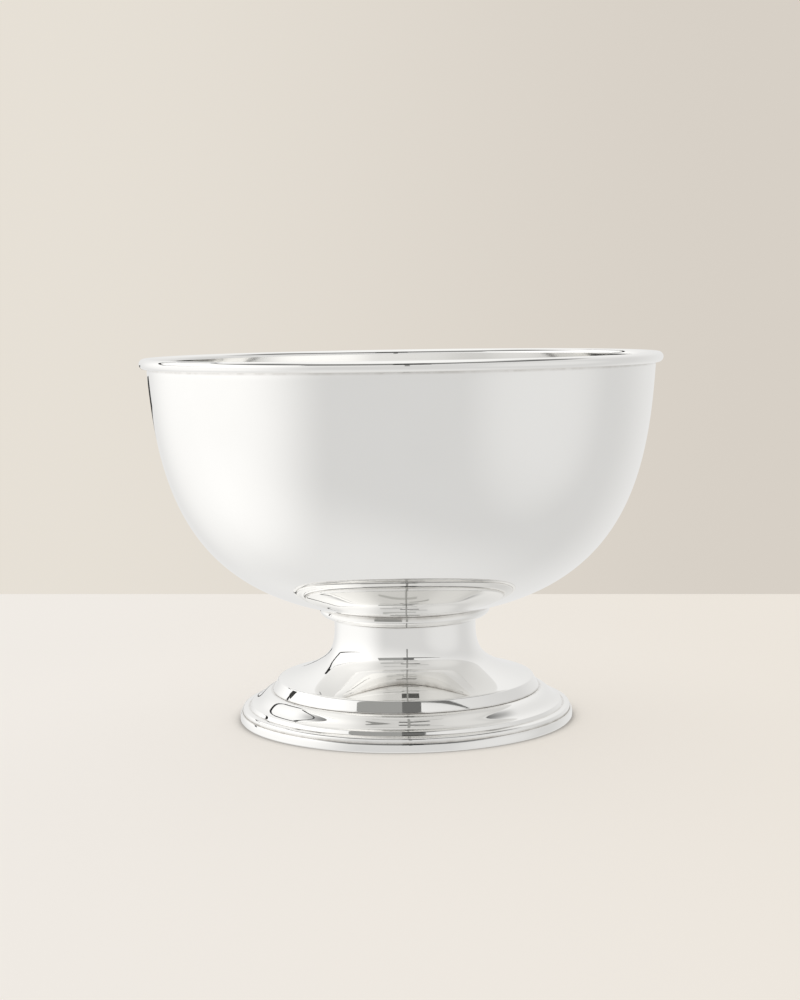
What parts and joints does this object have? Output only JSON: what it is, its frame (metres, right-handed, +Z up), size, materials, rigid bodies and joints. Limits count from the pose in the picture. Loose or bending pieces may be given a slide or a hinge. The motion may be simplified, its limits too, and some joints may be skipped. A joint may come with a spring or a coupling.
{
  "type": "punch bowl",
  "caption": "Round pedestal punch bowl in mirror-polished silver plate, with a beaded rim, a collar at the neck and a stepped, flared foot.",
  "frame": {"origin": "centre of the foot's underside, on the surface that the bowl stands on", "axes": "+Z up along the axis of revolution; X and Y are alike"},
  "size_m": [0.38, 0.38, 0.2675],
  "materials": {
    "mirror_silver": "mirror-polished silver plate on spun brass",
    "inner_brass": "turned, unplated",
    "inner_steel": "zinc-plated steel"
  },
  "bodies": {
    "root": {"bowl_shell": "mirror_silver", "rim_wire": "inner_steel", "collar_ring": "mirror_silver", "pedestal_shell": "mirror_silver", "pedestal_cap": "inner_brass", "foot_shell": "mirror_silver", "foot_ring": "mirror_silver", "backing_plate": "inner_brass", "centre_stud": "inner_brass", "clamp_dish": "inner_steel", "flat_washer": "inner_steel", "spring_washer": "inner_steel", "hex_nut": "inner_brass"}
  },
  "joints": []
}
